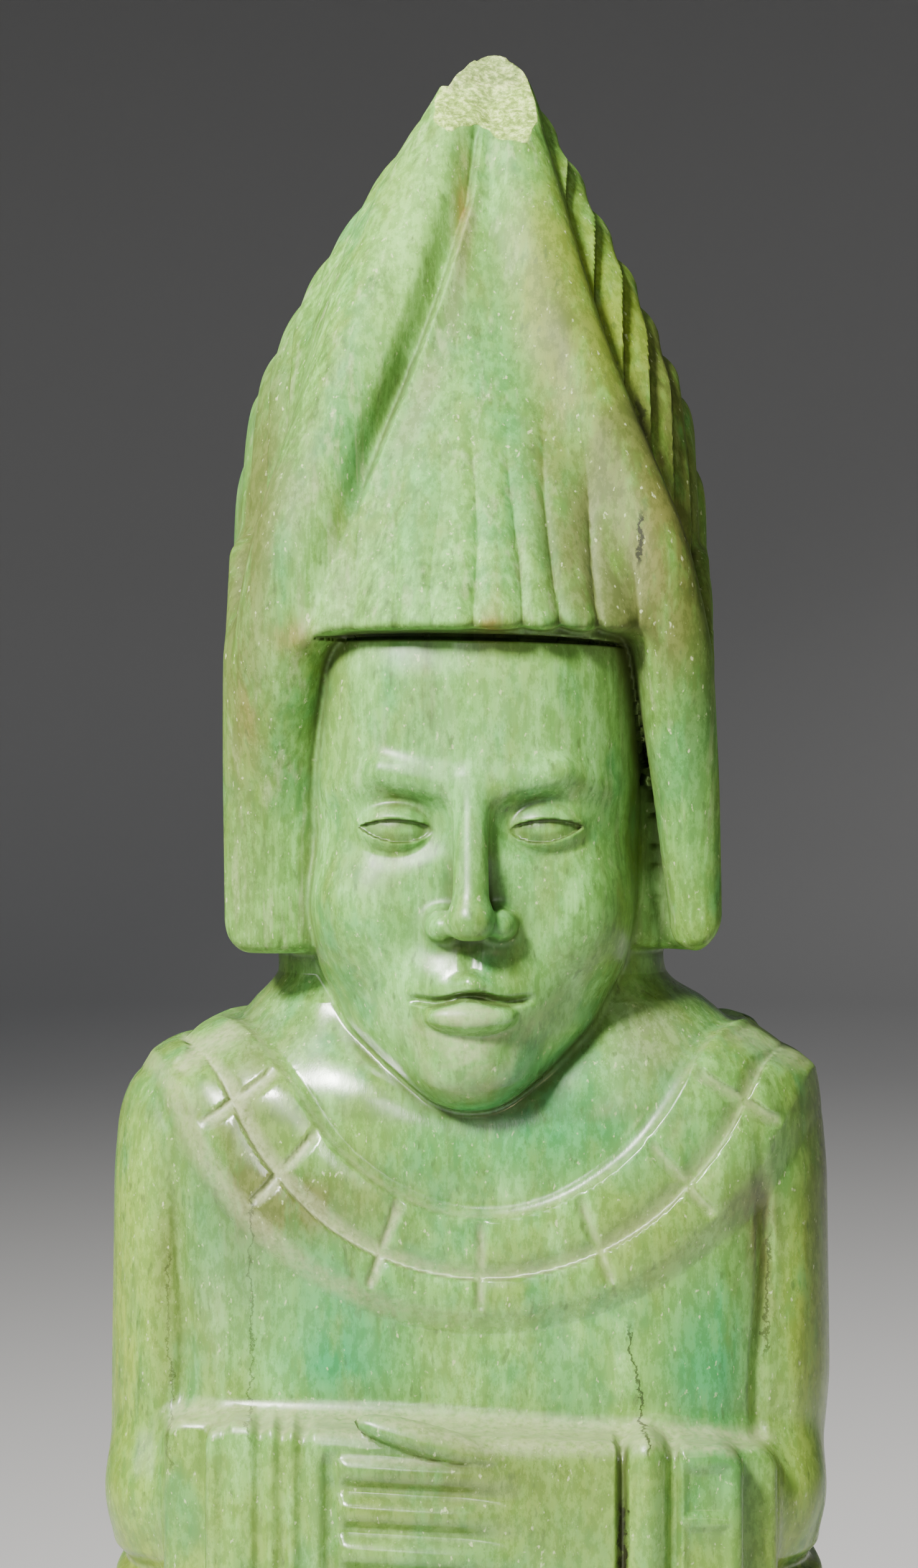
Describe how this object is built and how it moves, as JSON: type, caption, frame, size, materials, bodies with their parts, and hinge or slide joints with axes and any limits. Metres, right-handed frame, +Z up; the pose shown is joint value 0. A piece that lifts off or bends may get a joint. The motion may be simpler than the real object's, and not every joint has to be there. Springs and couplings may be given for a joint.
{
  "type": "carved jade figure",
  "caption": "Carved green jade standing figure in a tall pointed plumed headdress and broad incised collar, hands folded at the belly, cut in one with its low base.",
  "frame": {"origin": "centre of the base's underside", "axes": "+Z up to the headdress's tip, the figure faces -Y, +X towards the figure's own left hand"},
  "size_m": [0.0892, 0.063, 0.25],
  "materials": {
    "jade": "mottled green jade, polished, with pale cut lines"
  },
  "bodies": {
    "root": {"jade_figure": "jade"}
  },
  "joints": []
}
